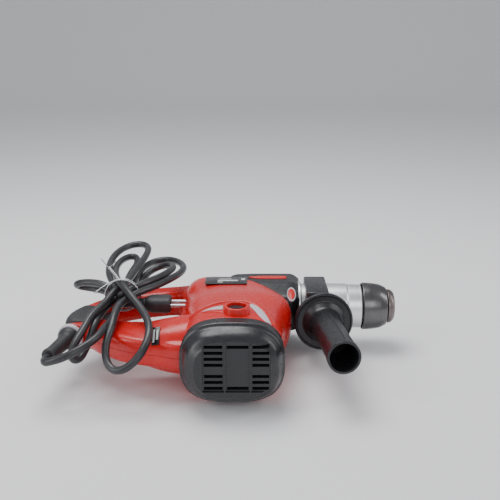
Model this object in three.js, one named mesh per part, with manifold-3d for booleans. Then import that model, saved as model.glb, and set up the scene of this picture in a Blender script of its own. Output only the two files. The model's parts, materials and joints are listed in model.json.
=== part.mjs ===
// A corded rotary hammer with an upright motor, lying on its left side.
// Millimetres. +X runs along the barrel to the nose, +Y is the tool's top, +Z is its right side.
// Every piece is built about the point where the barrel axis crosses the motor axis.
// The whole tool is then lifted so that the lowest point of the tool, without its cord, is z = 0.
import * as THREE from "three";
import { mergeVertices } from "three/addons/utils/BufferGeometryUtils.js";
import Module from "manifold-3d";

const wasm = await Module();
wasm.setup();

// Gap between neighbouring pieces, and the usual wall of a plastic shell.
const GAP = 0.35;
const WALL = 2.8;

// Points round a section of a moulded shell.
const SHELL_POINTS = 24;

// Gear train: a 7-tooth motor pinion drives the crank gear behind it and the bevel shaft ahead of it.
const GEAR_MODULE = 1.1;
const PINION_TEETH = 7;
const WHEEL_TEETH = 42;
const GEAR_CENTRES = (GEAR_MODULE * (PINION_TEETH + WHEEL_TEETH)) / 2;
const BEVEL_MODULE = 1.2;
const BEVEL_PINION_TEETH = 8;
const BEVEL_WHEEL_TEETH = 36;
const BEVEL_PINION_RADIUS = (BEVEL_MODULE * BEVEL_PINION_TEETH) / 2;
const BEVEL_WHEEL_RADIUS = (BEVEL_MODULE * BEVEL_WHEEL_TEETH) / 2;

// Hammer mechanism: the crank throw moves the piston 26 mm along the barrel axis.
const CRANK_X = -GEAR_CENTRES;
const BEVEL_SHAFT_X = GEAR_CENTRES;
const CRANK_THROW = 13;
const ROD_LENGTH = 46;
const CRANK_PIN_X = CRANK_X + CRANK_THROW;
const WRIST_PIN_X = CRANK_PIN_X + ROD_LENGTH;
const PISTON_RADIUS = 14;
const CYLINDER_BORE = 14.3;
const CYLINDER_RADIUS = 17;
const CYLINDER_REAR = 4;

// Front of the tool, along the barrel axis.
const BARREL_START = 74.5;
const BARREL_END = 152;
const BARREL_RADIUS = 27.5;
const SLEEVE_END = 182.5;
const NOSE_END = 192;

// Motor, along the motor axis (x = 0, z = 0).
const COVER_JOINT_Y = -156;
const MOTOR_END_Y = -190;
const BRUSH_Y = -140;

// Air slots in the motor end cover: middle, half width and heights of each column.
const AIR_SLOTS = [
  [-20.5, 9.5, [26, 19.4, 12.8, 6.2, -6.2, -12.8, -19.4]],
  [4.5, 11, [26, -19.4]],
  [28, 8.5, [26, 19.4, 12.8, 6.2, -6.2, -12.8, -19.4]],
];
const BOSS_X = 2;
const BOSS_TOP = 50;

// Side handle: its grip hangs in -Y from a band clamped round the barrel. The band is turned a little
// round the barrel, and the grip leans a little towards the nose.
const SIDE_HANDLE_X = 96;
const SIDE_HANDLE_TURN = -3.5 * (Math.PI / 180);
const GRIP_LEAN = 5.5 * (Math.PI / 180);
const GRIP_END_Y = -183;

// Red stripe along the gear cover.
const STRIPE_X = [30, 62];
const STRIPE_Y = [15, 23];

// Rear handle.
const HANDLE_HALF = 16;
const RUBBER_X = -176;
const HANDLE_SCREWS = [[-66, 17], [-143, -14], [-74, -106]];
const LOCK_BUTTON = [-166, -36];

// Selector knobs on the left side, level with the brush boss, so that the tool lies steady on all three.
const KNOB_PLACES = [[44, 6, -35.2], [-20, 6, -35.2]];

// Mains cord: it leaves the foot of the rear handle through a guard that leans backwards.
const CORD_RADIUS = 4.25;
const GUARD_FOOT = [-183, -98, 0];
const GUARD_LEAN = -14 * (Math.PI / 180);
const PLUG_Y = -58;
const PLUG_Z = 24.5;
const HANK_BOTTOM = 27;
const HANK_TOP = 50;

const paint = (color, roughness, metalness = 0) =>
  new THREE.MeshStandardMaterial({ color, roughness, metalness });
const redPlastic = paint(0xd8261c, 0.42);
const darkPlastic = paint(0x34363a, 0.5);
const rubber = paint(0x2b2c2f, 0.75);
const lightInsert = paint(0xb9b4bd, 0.4);
const castAluminium = paint(0xb4b6b8, 0.45, 0.9);
const steel = paint(0x9a9da1, 0.3, 1);
const darkSteel = paint(0x46484c, 0.35, 1);
const copper = paint(0xb5713a, 0.4, 1);
const carbon = paint(0x2a2a2a, 0.8);
const brass = paint(0xb8974a, 0.35, 1);
const labelBlack = paint(0x1a1a1c, 0.35);

const tool = new THREE.Group();

// ---- Joining and cutting ----

// Turns a closed geometry into a solid, with its faces pointing out whichever way it was drawn.
function solid(geometry) {
  const bare = new THREE.BufferGeometry().setAttribute("position", geometry.getAttribute("position"));
  if (geometry.index) bare.setIndex(geometry.index);
  const merged = mergeVertices(bare, 1e-3);
  const triVerts = new Uint32Array(merged.index.array);
  const vertProperties = merged.attributes.position.array;
  const made = new wasm.Manifold(new wasm.Mesh({ numProp: 3, vertProperties, triVerts }));
  if (made.volume() >= 0) return made;
  for (let i = 0; i < triVerts.length; i += 3) {
    [triVerts[i + 1], triVerts[i + 2]] = [triVerts[i + 2], triVerts[i + 1]];
  }
  return new wasm.Manifold(new wasm.Mesh({ numProp: 3, vertProperties, triVerts }));
}

// Turns a solid back into a geometry, leaving out crumbs that a cut has freed.
function geometryOf(made) {
  const biggest = made.decompose().reduce((a, b) => (b.volume() > a.volume() ? b : a));
  const mesh = biggest.getMesh();
  const geometry = new THREE.BufferGeometry();
  geometry.setAttribute("position", new THREE.BufferAttribute(new Float32Array(mesh.vertProperties), 3));
  geometry.setIndex(new THREE.BufferAttribute(new Uint32Array(mesh.triVerts), 1));
  return geometry;
}

function join(...geometries) {
  return geometryOf(geometries.map(solid).reduce((a, b) => a.add(b)));
}

function cut(geometry, ...tools) {
  return geometryOf(tools.map(solid).reduce((a, b) => a.subtract(b), solid(geometry)));
}

function common(a, b) {
  return geometryOf(solid(a).intersect(solid(b)));
}

// Adds one named piece to the tool.
function piece(name, geometry, material) {
  const plain = geometryOf(solid(geometry)).toNonIndexed();
  plain.computeVertexNormals();
  const mesh = new THREE.Mesh(plain, material);
  mesh.name = name;
  tool.add(mesh);
  return mesh;
}

// ---- Basic shapes ----

// Turns a shape drawn about the y axis so that it lies about the named axis.
function lay(geometry, axis, at) {
  if (axis === "x") geometry.rotateZ(-Math.PI / 2);
  if (axis === "z") geometry.rotateX(Math.PI / 2);
  return geometry.translate(...at);
}

// A solid of revolution: the profile is [radius, distance along the axis] pairs that enclose an area.
function turned(profile, sides, axis, at = [0, 0, 0]) {
  const closed = [...profile, profile[0]].map(([r, h]) => new THREE.Vector2(r, h));
  return lay(new THREE.LatheGeometry(closed, sides), axis, at);
}

// A plain rod between two distances along an axis.
function rod(radius, from, to, axis, at = [0, 0, 0], sides = 16) {
  const shape = new THREE.CylinderGeometry(radius, radius, to - from, sides);
  return lay(shape.translate(0, (from + to) / 2, 0), axis, at);
}

// A ring between two distances along an axis.
function ring(outer, inner, from, to, axis, at = [0, 0, 0], sides = 20) {
  const profile = [
    [inner, from],
    [outer, from],
    [outer, to],
    [inner, to],
  ];
  return turned(profile, sides, axis, at);
}

// A box given by its low and high corners.
function block(low, high) {
  const size = high.map((value, i) => value - low[i]);
  const middle = high.map((value, i) => (value + low[i]) / 2);
  return new THREE.BoxGeometry(...size).translate(...middle);
}

// A closed skin through a row of rings, each with the same number of points.
function skin(rings) {
  const count = rings[0].length;
  const points = rings.flat();
  const faces = [];
  for (let row = 0; row + 1 < rings.length; row++) {
    for (let i = 0; i < count; i++) {
      const a = row * count + i;
      const b = row * count + ((i + 1) % count);
      faces.push(a, b, a + count, b, b + count, a + count);
    }
  }
  for (const [row, flip] of [[0, true], [rings.length - 1, false]]) {
    const middle = rings[row].reduce((sum, p) => sum.add(p), new THREE.Vector3()).divideScalar(count);
    points.push(middle);
    for (let i = 0; i < count; i++) {
      const a = row * count + i;
      const b = row * count + ((i + 1) % count);
      faces.push(...(flip ? [b, a, points.length - 1] : [a, b, points.length - 1]));
    }
  }
  return new THREE.BufferGeometry().setFromPoints(points).setIndex(faces);
}

// Points round a rounded rectangle: power 2 is an ellipse, higher powers have squarer corners.
function roundedOutline(halfWidth, halfHeight, power, count) {
  return Array.from({ length: count }, (_, i) => {
    const angle = (2 * Math.PI * i) / count;
    const c = Math.cos(angle);
    const s = Math.sin(angle);
    const u = halfWidth * Math.sign(c) * Math.abs(c) ** (2 / power);
    const v = halfHeight * Math.sign(s) * Math.abs(s) ** (2 / power);
    return [u, v];
  });
}

// A spur gear about the y axis, with a tooth pointing to +X when phase is 0.
function gear(teeth, module, from, to, bore, phase, at) {
  const pitch = (module * teeth) / 2;
  const tip = pitch + 0.85 * module;
  const root = pitch - 1.15 * module;
  const tooth = (2 * Math.PI) / teeth;
  const outline = [];
  for (let i = 0; i < teeth; i++) {
    const middle = (i + phase) * tooth;
    for (const [radius, share] of [[root, -0.3], [tip, -0.1], [tip, 0.1], [root, 0.3]]) {
      const angle = middle + share * tooth;
      outline.push(new THREE.Vector2(radius * Math.cos(angle), radius * Math.sin(angle)));
    }
  }
  const shape = new THREE.Shape(outline);
  if (bore > 0) shape.holes.push(new THREE.Path().absarc(0, 0, bore, 0, 2 * Math.PI));
  const body = new THREE.ExtrudeGeometry(shape, { depth: to - from, bevelEnabled: false, curveSegments: 6 });
  return body.rotateX(Math.PI / 2).translate(0, to, 0).translate(...at);
}

// ---- Outer shells ----

// Sections of the motor housing across the motor axis: y, middle x, half width, half thickness, power.
const HOUSING_SECTIONS = [
  [COVER_JOINT_Y, -1.5, 54.5, 45, 2.8],
  [-125, -1, 54.5, 46, 2.8],
  [-98, 0, 56, 45.5, 2.8],
  [-72, 2, 60, 43.5, 2.8],
  [-48, 3, 62, 39.5, 2.9],
  [-28, -1, 59, 36, 3],
  [-8, -8, 54, 33.5, 3.4],
  [12, -15, 46, 31.5, 3.4],
  [28, -24, 35, 28, 3],
  [38, -29, 26, 22, 2.6],
];

// The motor housing's outside, grown by the given amount on every side.
function housingForm(grow, top) {
  const rings = HOUSING_SECTIONS.map(([y, x, halfX, halfZ, power]) =>
    roundedOutline(halfX + grow, halfZ + grow, power, SHELL_POINTS).map(
      ([u, v]) => new THREE.Vector3(x + u, Math.min(y, top), v),
    ),
  );
  const lowest = rings[0].map((p) => new THREE.Vector3(p.x, p.y - Math.max(grow, -grow), p.z));
  const highest = rings[rings.length - 1].map((p) => new THREE.Vector3(p.x, p.y + Math.max(grow, 0), p.z));
  return skin(grow === 0 ? rings : [lowest, ...rings, highest]);
}

// The gear case: a flat-bottomed pot over the gears with a neck along the barrel.
function crankcaseForm(grow) {
  const gears = new THREE.Shape();
  const radius = 27 + grow;
  gears.absarc(GEAR_CENTRES, 0, radius, -Math.PI / 2, Math.PI / 2);
  gears.absarc(-GEAR_CENTRES, 0, radius, Math.PI / 2, (3 * Math.PI) / 2);
  const pot = new THREE.ExtrudeGeometry(gears, {
    depth: 21 + 2 * grow,
    bevelEnabled: false,
    curveSegments: 8,
  });
  pot.rotateX(Math.PI / 2).translate(0, -29 + grow, 0);
  const crankRoom = block([-53 - grow, -30, -23.6 - grow], [32, 23 + grow, 23.6 + grow]);
  const neck = rod(25.2 + grow, 28 - grow, 73.5, "x", [0, 0, 0], 32);
  return join(pot, crankRoom, neck);
}

function makeCrankcase() {
  const gears = new THREE.Shape();
  gears.absarc(GEAR_CENTRES, 0, 24.8, -Math.PI / 2, Math.PI / 2);
  gears.absarc(-GEAR_CENTRES, 0, 24.8, Math.PI / 2, (3 * Math.PI) / 2);
  const gearRoom = new THREE.ExtrudeGeometry(gears, { depth: 14.2, bevelEnabled: false, curveSegments: 8 });
  gearRoom.rotateX(Math.PI / 2).translate(0, -29, 0);
  const shape = cut(
    crankcaseForm(0),
    gearRoom,
    block([-50, -17, -21.4], [31, 20.5, 21.4]),
    rod(13.3, -30, -16, "y", [CRANK_X, 0, 0], 24),
    rod(7.2, -30, -14, "y", [BEVEL_SHAFT_X, 0, 0], 20),
    rod(5, -30, -24, "y", [0, 0, 0], 16),
    rod(23, 30, 59, "x", [0, 0, 0], 32),
    rod(22.9, 58, 80, "x", [0, 0, 0], 32),
    rod(11.4, -51, -43, "y", [0, 0, 0], 24),
    rod(6.4, -51, -43, "y", [CRANK_X, 0, 0], 20),
    rod(5.4, -51, -43, "y", [BEVEL_SHAFT_X, 0, 0], 20),
  );
  piece("crankcase", shape, castAluminium);
}

function makeMotorHousing() {
  const boss = rod(14, BRUSH_Y + 180, BOSS_TOP, "z", [BOSS_X, BRUSH_Y, 0], 28);
  const leftBoss = rod(14, -BOSS_TOP, -40, "z", [BOSS_X, BRUSH_Y, 0], 28);
  const shell = cut(
    join(housingForm(0, 38), boss, leftBoss),
    housingForm(-WALL, 35.2),
    crankcaseForm(GAP),
  );
  const brushHole = rod(9.9, -60, 60, "z", [BOSS_X, BRUSH_Y, 0], 20);
  const knobHole = rod(6, -40, -24, "z", [KNOB_PLACES[1][0], KNOB_PLACES[1][1], 0], 14);
  piece("motor_housing", cut(shell, brushHole, knobHole), redPlastic);
}

// The dark cover over the front of the gear case.
function makeGearCover() {
  const sections = [
    [-12, 33, 27, 4],
    [-4, 36, 29.5, 4],
    [60, 36, 30, 4],
    [70, 35, 29, 5],
    [BARREL_START - 0.5, 33.5, 27.6, 4],
  ];
  const form = (grow) =>
    skin(
      sections.map(([x, halfY, halfZ, middle]) =>
        roundedOutline(halfY + grow, halfZ + grow, 4.5, SHELL_POINTS).map(([u, v]) => new THREE.Vector3(x, middle + u, v)),
      ),
    );
  const shell = cut(form(0), form(-2.2), housingForm(GAP, 40), crankcaseForm(GAP));
  const open = cut(
    shell,
    block([STRIPE_X[0] - GAP, STRIPE_Y[0] - GAP, 28.6], [STRIPE_X[1] + GAP, STRIPE_Y[1] + GAP, 34]),
    rod(6, -40, -26, "z", [KNOB_PLACES[0][0], KNOB_PLACES[0][1], 0], 14),
  );
  piece("gear_cover", open, darkPlastic);
}

function makeEndCover() {
  const sections = [
    [COVER_JOINT_Y - GAP, 54.5, 45, 2.8],
    [-166, 54, 44, 2.8],
    [-176, 51.5, 41, 2.8],
    [-184, 47, 36.5, 2.8],
    [MOTOR_END_Y, 40, 30.5, 2.8],
  ];
  const form = (grow, shift) =>
    skin(
      sections.map(([y, halfX, halfZ, power]) =>
        roundedOutline(halfX + grow, halfZ + grow, power, SHELL_POINTS).map(
          ([u, v]) => new THREE.Vector3(-1.5 + u, y + shift, v),
        ),
      ),
    );
  const slots = [];
  for (const [x, halfWidth, rows] of AIR_SLOTS) {
    for (const z of rows) {
      slots.push(block([x - halfWidth, MOTOR_END_Y - 1, z - 1.7], [x + halfWidth, MOTOR_END_Y + 9, z + 1.7]));
    }
  }
  const bearingSeat = ring(14, 11.4, -182, -168, "y", [0, 0, 0], 24);
  const spokes = join(block([-50, -181, -3], [-12.5, -171, 3]), block([12.5, -181, -3], [50, -171, 3]), bearingSeat);
  const inside = common(spokes, form(-0.5, 0.5));
  piece("end_cover", cut(join(cut(form(0, 0), form(-WALL, WALL)), inside), ...slots), darkPlastic);
}

// ---- Motor ----

function makeMotor() {
  piece("field_stator", ring(39, 22.4, -118, -66, "y", [0, 0, 0], 32), darkSteel);
  const shaft = join(
    rod(5, -178, -46, "y"),
    gear(PINION_TEETH, GEAR_MODULE, -46, -31, 0, 0, [0, 0, 0]),
  );
  piece("armature_shaft", shaft, steel);
  const windings = join(
    ring(21.5, 5 + GAP, -114, -70, "y", [0, 0, 0], 20),
    ring(16, 5 + GAP, -124, -64, "y", [0, 0, 0], 20),
  );
  piece("armature_core", windings, copper);
  piece("commutator", ring(13, 5 + GAP, -150, -130, "y", [0, 0, 0], 24), copper);
  const blades = [];
  for (let i = 0; i < 7; i++) {
    const blade = block([10, -60.5, -0.9], [33, -54.5, 0.9]);
    blades.push(blade.rotateY((2 * Math.PI * i) / 7));
  }
  piece("cooling_fan", join(ring(33, 5 + GAP, -62.5, -60, "y", [0, 0, 0], 20), ring(11, 5 + GAP, -62, -54.5, "y", [0, 0, 0], 12), ...blades), darkPlastic);
  piece("upper_motor_bearing", ring(11, 5 + GAP, -50, -44, "y", [0, 0, 0], 20), steel);
  piece("lower_motor_bearing", ring(11, 5 + GAP, -177, -169, "y", [0, 0, 0], 20), steel);
  for (const [side, sign] of [["right", 1], ["left", -1]]) {
    const sleeve = cut(
      rod(9.4, sign > 0 ? 17 : -43.5, sign > 0 ? 43.5 : -17, "z", [BOSS_X, BRUSH_Y, 0], 16),
      block([BOSS_X - 4.3, BRUSH_Y - 6.3, -60], [BOSS_X + 4.3, BRUSH_Y + 6.3, 60]),
    );
    piece("brush_holder_" + side, sleeve, brass);
    const low = sign > 0 ? 13.5 : -33;
    piece("carbon_brush_" + side, block([BOSS_X - 4, BRUSH_Y - 6, low], [BOSS_X + 4, BRUSH_Y + 6, low + 19.5]), carbon);
    const cap = cut(
      rod(9.5, sign > 0 ? 43.9 : -49.5, sign > 0 ? 49.5 : -43.9, "z", [BOSS_X, BRUSH_Y, 0], 24),
      block([BOSS_X - 6.5, BRUSH_Y - 1.1, sign > 0 ? 47.5 : -50], [BOSS_X + 6.5, BRUSH_Y + 1.1, sign > 0 ? 50 : -47.5]),
    );
    piece("brush_cap_" + side, cap, darkPlastic);
  }
}

// ---- Hammer and drive mechanism ----

function makeCrank() {
  const shaft = join(
    rod(6, -49.5, -13.5, "y", [CRANK_X, 0, 0]),
    rod(17.5, -14, -8, "y", [CRANK_X, 0, 0], 28),
    rod(4.5, -9, -6.3, "y", [CRANK_PIN_X, 0, 0], 16),
  );
  piece("crankshaft", shaft, steel);
  piece("crank_gear", gear(WHEEL_TEETH, GEAR_MODULE, -41.5, -32, 6 + GAP, 0, [CRANK_X, 0, 0]), darkSteel);
  piece("crank_bearing", ring(13, 6 + GAP, -29.5, -18, "y", [CRANK_X, 0, 0], 24), steel);
}

function makeConnectingRod() {
  const beam = block([CRANK_PIN_X + 5, -3, -4], [WRIST_PIN_X - 4, 3, 4]);
  const eyes = join(rod(8, -5.5, 5.5, "y", [CRANK_PIN_X, 0, 0]), rod(6, -5.5, 5.5, "y", [WRIST_PIN_X, 0, 0]), beam);
  piece(
    "connecting_rod",
    cut(
      eyes,
      rod(4.9, -7, 7, "y", [CRANK_PIN_X, 0, 0], 16),
      rod(3.3, -7, 7, "y", [WRIST_PIN_X, 0, 0], 16),
    ),
    castAluminium,
  );
}

function makePiston() {
  const body = rod(PISTON_RADIUS, WRIST_PIN_X - 8, WRIST_PIN_X + 13, "x", [0, 0, 0], 28);
  const rodRoom = block([WRIST_PIN_X - 10, -6, -9], [WRIST_PIN_X + 7, 6, 9]);
  const pinHole = rod(3 + GAP, -15, 15, "y", [WRIST_PIN_X, 0, 0], 16);
  piece("piston", cut(body, rodRoom, pinHole), castAluminium);
  piece("wrist_pin", rod(3, -11, 11, "y", [WRIST_PIN_X, 0, 0], 16), steel);
}

function makeStriker() {
  piece("striker", turned([[0, 58], [13, 58], [PISTON_RADIUS, 59], [PISTON_RADIUS, 74], [7, 78], [7, 84], [0, 84]], 28, "x"), steel);
  piece("impact_bolt", turned([[0, 92], [6, 92], [8, 95], [8, 110], [4.4, 113], [4.4, 124], [0, 124]], 24, "x"), steel);
}

// The hollow spindle: air cylinder at the back, tool holder with its bore at the front.
function makeSpindle() {
  const outside = [
    [0, CYLINDER_REAR],
    [CYLINDER_RADIUS, CYLINDER_REAR],
    [CYLINDER_RADIUS, 88],
    [13, 94],
    [13, 186],
    [0, 186],
  ];
  const bore = [
    [0, -5],
    [CYLINDER_BORE, -5],
    [CYLINDER_BORE, 84],
    [8.4, 90],
    [8.4, 114],
    [5.2, 117],
    [5.2, 190],
    [0, 190],
  ];
  const ballHoles = rod(3.6, -20, 20, "z", [165, 0, 0], 14);
  piece("spindle", cut(turned(outside, 24, "x"), turned(bore, 24, "x"), ballHoles), steel);
  for (const [side, z] of [["right", 8.6], ["left", -8.6]]) {
    piece("locking_ball_" + side, new THREE.SphereGeometry(3.2, 12, 8).translate(165, 0, z), steel);
  }
}

// Bevel wheel round the cylinder, its teeth facing back to the bevel pinion, and the shaft that turns it.
function makeBevelDrive() {
  const backFace = BEVEL_SHAFT_X + BEVEL_PINION_RADIUS + 1.8;
  const teeth = [];
  for (let i = 0; i < BEVEL_WHEEL_TEETH; i++) {
    const corner = (r, half) => [new THREE.Vector2(r, -half), new THREE.Vector2(r, half)];
    const [a, b] = corner(CYLINDER_RADIUS + GAP + 0.3, 0.5);
    const [c, d] = corner(BEVEL_WHEEL_RADIUS + 0.4, 0.68);
    const wedge = new THREE.ExtrudeGeometry(new THREE.Shape([a, c, d, b]), { depth: 3, bevelEnabled: false });
    const angle = ((i + 0.5) * 2 * Math.PI) / BEVEL_WHEEL_TEETH;
    teeth.push(wedge.rotateY(Math.PI / 2).translate(backFace - 2.3, 0, 0).rotateX(angle));
  }
  const web = ring(BEVEL_WHEEL_RADIUS + 0.8, CYLINDER_RADIUS + GAP, backFace, backFace + 7, "x", [0, 0, 0], 36);
  piece("bevel_wheel", join(web, ...teeth), darkSteel);

  const far = BEVEL_WHEEL_RADIUS;
  const near = CYLINDER_RADIUS + GAP + 0.15;
  const outline = (scale) => {
    const points = [];
    for (let i = 0; i < BEVEL_PINION_TEETH; i++) {
      for (const [extra, share] of [[-1.15, -0.28], [0.8, -0.1], [0.8, 0.1], [-1.15, 0.28]]) {
        const angle = ((i + share) * 2 * Math.PI) / BEVEL_PINION_TEETH;
        const radius = scale * (BEVEL_PINION_RADIUS + extra * BEVEL_MODULE);
        points.push(new THREE.Vector3(BEVEL_SHAFT_X + radius * Math.cos(angle), -scale * far, radius * Math.sin(angle)));
      }
    }
    return points;
  };
  const pinion = skin([outline(1), outline(near / far)]);
  const shaft = join(pinion, rod(3.2, -24, -21, "y", [BEVEL_SHAFT_X, 0, 0]), rod(5, -49.5, -23, "y", [BEVEL_SHAFT_X, 0, 0]));
  piece("bevel_pinion_shaft", shaft, steel);
  const wheel = gear(WHEEL_TEETH, GEAR_MODULE, -41.5, -32, 5 + GAP, 0.5, [BEVEL_SHAFT_X, 0, 0]);
  piece("bevel_shaft_gear", wheel, darkSteel);
}

// ---- Barrel and tool holder ----

function makeBarrel() {
  const profile = [
    [22.9, BARREL_START],
    [30.5, BARREL_START],
    [30.5, BARREL_START + 3],
    [BARREL_RADIUS, BARREL_START + 4],
    [BARREL_RADIUS, 124],
    [26.5, 126],
    [26.5, BARREL_END - 1],
    [25.5, BARREL_END],
    [17, BARREL_END],
    [17, 136],
    [20.2, 136],
    [20.2, 100],
    [22.9, 98],
  ];
  piece("front_barrel", turned(profile, 24, "x"), castAluminium);
  piece("spindle_rear_bearing", ring(22.6, CYLINDER_RADIUS + GAP, 60, 72, "x", [0, 0, 0], 28), steel);
  piece("spindle_front_bearing", ring(19.8, 13 + GAP, 124, 135, "x", [0, 0, 0], 28), steel);
}

// The sleeve slides back to free the tool bit, against its spring.
function makeToolHolder() {
  const sleeve = [
    [13.4, 163],
    [13.4, 176],
    [20.5, 176],
    [20.5, SLEEVE_END - 0.5],
    [22, SLEEVE_END - 0.5],
    [25.5, 176],
    [28, 165],
    [28.6, 160],
    [28.6, BARREL_END + 0.6],
    [27.2, BARREL_END + 0.6],
    [27.2, 163],
  ];
  piece("locking_sleeve", turned(sleeve, 24, "x"), darkSteel);
  piece("sleeve_spring", ring(19.4, 17.2, BARREL_END + GAP, 162.6, "x"), steel);
  const nose = [
    [5.8, NOSE_END],
    [5.8, 186.4],
    [13.4, 186.4],
    [13.4, 177],
    [16.5, 177],
    [16.5, SLEEVE_END],
    [20.2, SLEEVE_END],
    [19.5, 186],
    [14, NOSE_END],
  ];
  piece("nose_ring", turned(nose, 24, "x"), rubber);
}

// ---- Side handle ----

// Leans something drawn along the Y axis so that it follows the side grip.
const leaned = (geometry) => geometry.rotateZ(GRIP_LEAN).translate(SIDE_HANDLE_X, 0, 0);

function makeSideHandle() {
  const band = join(
    ring(33, BARREL_RADIUS, SIDE_HANDLE_X - 13, SIDE_HANDLE_X + 13, "x", [0, 0, 0], 28),
    block([SIDE_HANDLE_X - 11, -54, -15], [SIDE_HANDLE_X + 13, -30, 15]),
    block([SIDE_HANDLE_X - 13, 22, -20], [SIDE_HANDLE_X + 13, 33, 20]),
  );
  const bore = rod(BARREL_RADIUS + 0.6, 60, 130, "x", [0, 0, 0], 28);
  const boltHole = leaned(rod(4.4, -66, -31, "y", [0, 0, 0], 16));
  const bolt = leaned(rod(4, -106, -33.5, "y", [0, 0, 0], 16));
  const grip = [
    [4 + GAP, -56.5],
    [31, -56.5],
    [34, -59],
    [34, -64],
    [30, -66.5],
    [22, -72],
    [18.5, -80],
    [17, -92],
    [16.5, -122],
    [17, -172],
    [17.8, -174],
    [17.8, GRIP_END_Y],
    [15, GRIP_END_Y],
    [14.3, -110],
    [4 + GAP, -108],
  ];
  const parts = [
    ["side_handle_clamp", cut(band, bore, boltHole), darkPlastic],
    ["side_handle_bolt", bolt, steel],
    ["side_handle_grip", leaned(turned(grip, 20, "y", [0, 0, 0])), rubber],
  ];
  for (const [name, geometry, material] of parts) piece(name, geometry.rotateX(SIDE_HANDLE_TURN), material);
}

// ---- Rear handle ----

const smoothPath = (points, steps) =>
  new THREE.CatmullRomCurve3(points.map(([x, y]) => new THREE.Vector3(x, y, 0)), true, "centripetal")
    .getPoints(steps)
    .slice(0, -1)
    .map((p) => new THREE.Vector2(p.x, p.y));

const HANDLE_OUTLINE = [
  [-40, 32], [-75, 32], [-106, 23], [-136, 7], [-160, -13], [-178, -37], [-189, -58], [-191.5, -76],
  [-188, -87], [-177, -93], [-163, -101], [-148, -117], [-120, -138], [-85, -150], [-45, -153], [-30, -60],
];
const FINGER_GAP = [
  [-68, 0], [-98, -4], [-128, -17], [-146, -33], [-153, -54], [-151, -72], [-140, -82], [-110, -86],
  [-78, -84], [-66, -68], [-64, -36],
];

// The handle's whole outside: a flat loop that thickens where its lower arm meets the motor housing.
function handleForm() {
  const shape = new THREE.Shape(smoothPath(HANDLE_OUTLINE, 40));
  const loop = new THREE.ExtrudeGeometry(shape, {
    depth: 2 * (HANDLE_HALF - 5),
    bevelEnabled: true,
    bevelThickness: 5,
    bevelSize: 4,
    bevelOffset: -4,
    bevelSegments: 2,
  });
  loop.translate(0, 0, -(HANDLE_HALF - 5));
  const flare = skin(
    [[-140, -104, 12, 15], [-122, -110, 21, 16], [-100, -116, 29, 20], [-75, -120, 32, 27], [-40, -120, 33, 33]].map(
      ([x, y, halfY, halfZ]) => roundedOutline(halfY, halfZ, 2.6, 16).map(([u, v]) => new THREE.Vector3(x, y + u, v)),
    ),
  );
  const gap = new THREE.ExtrudeGeometry(new THREE.Shape(smoothPath(FINGER_GAP, 28)), {
    depth: 100,
    bevelEnabled: false,
  });
  gap.translate(0, 0, -50);
  return cut(join(loop, flare), gap, housingForm(GAP, 45));
}

// Places something drawn along the Y axis on the cord guard's own axis.
const alongGuard = (geometry) => geometry.rotateZ(GUARD_LEAN).translate(...GUARD_FOOT);

function makeRearHandle() {
  const form = handleForm();
  const rubberRoom = block([-210, -86, -30], [RUBBER_X, -38, 30]);
  const wrap = common(form, block([-210, -85.7, -30], [RUBBER_X - 0.3, -38.3, 30]));
  piece("grip_rubber", cut(wrap, block([-182, -82, -9], [-170, -50, 9])), rubber);
  const hollows = [
    block([-181, -84, -12.5], [-157.5, -48, 12.5]),
    block([-170, -84, -12.5], [-157.2, -33.5, 12.5]),
    block([-120, 5, -11], [-72, 12.5, 11]),
    block([-140, -118, -11.5], [-84, -90, 11.5]),
    block([-160, -68, -7.5], [-138, -33.5, 7.5]),
    alongGuard(rod(8.2, -12, 24, "y", [0, 0, 0], 20)),
    rod(4.1, -20, -7.5, "z", [...LOCK_BUTTON, 0], 16),
    ...HANDLE_SCREWS.flatMap(([x, y]) => [
      rod(4.1, -40, -11.5, "z", [x, y, 0], 14),
      rod(2.1, -15, 10, "z", [x, y, 0], 8),
    ]),
  ];
  for (const [side, sign] of [["right", 1], ["left", -1]]) {
    const half = sign > 0 ? block([-220, -170, 0.15], [0, 60, 60]) : block([-220, -170, -60], [0, 60, -0.15]);
    piece("handle_shell_" + side, cut(common(form, half), rubberRoom, ...hollows), redPlastic);
  }
  HANDLE_SCREWS.forEach(([x, y], i) => {
    const head = rod(3.7, -14.6, -11.9, "z", [x, y, 0], 14);
    piece("handle_screw_" + (i + 1), join(head, rod(1.7, -13, 8, "z", [x, y, 0], 8)), steel);
  });
  piece("switch_module", block([-180.5, -81.5, -8.5], [-168, -50.5, 8.5]), darkPlastic);
  const cap = rod(3.7, -18.5, -11.5, "z", [...LOCK_BUTTON, 0], 16);
  piece("lock_button", join(cap, rod(2, -12, -8, "z", [...LOCK_BUTTON, 0], 8)), darkPlastic);
  const lever = new THREE.Shape(
    smoothPath([[-160, -37], [-148, -36.5], [-140, -42], [-139.5, -52], [-143, -62], [-150, -65.5], [-160, -65]], 24),
  );
  const trigger = new THREE.ExtrudeGeometry(lever, { depth: 13.6, bevelEnabled: false }).translate(0, 0, -6.8);
  piece("trigger", trigger, darkPlastic);
}

// ---- Cord and what is on it ----

function tube(points, radius, steps, sides) {
  const route = new THREE.CatmullRomCurve3(points.map((p) => new THREE.Vector3(...p)), false, "centripetal");
  const section = new THREE.Shape(
    Array.from({ length: sides }, (_, i) => {
      const angle = (2 * Math.PI * i) / sides;
      return new THREE.Vector2(radius * Math.cos(angle), radius * Math.sin(angle));
    }),
  );
  return new THREE.ExtrudeGeometry(section, { steps, bevelEnabled: false, extrudePath: route });
}

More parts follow.
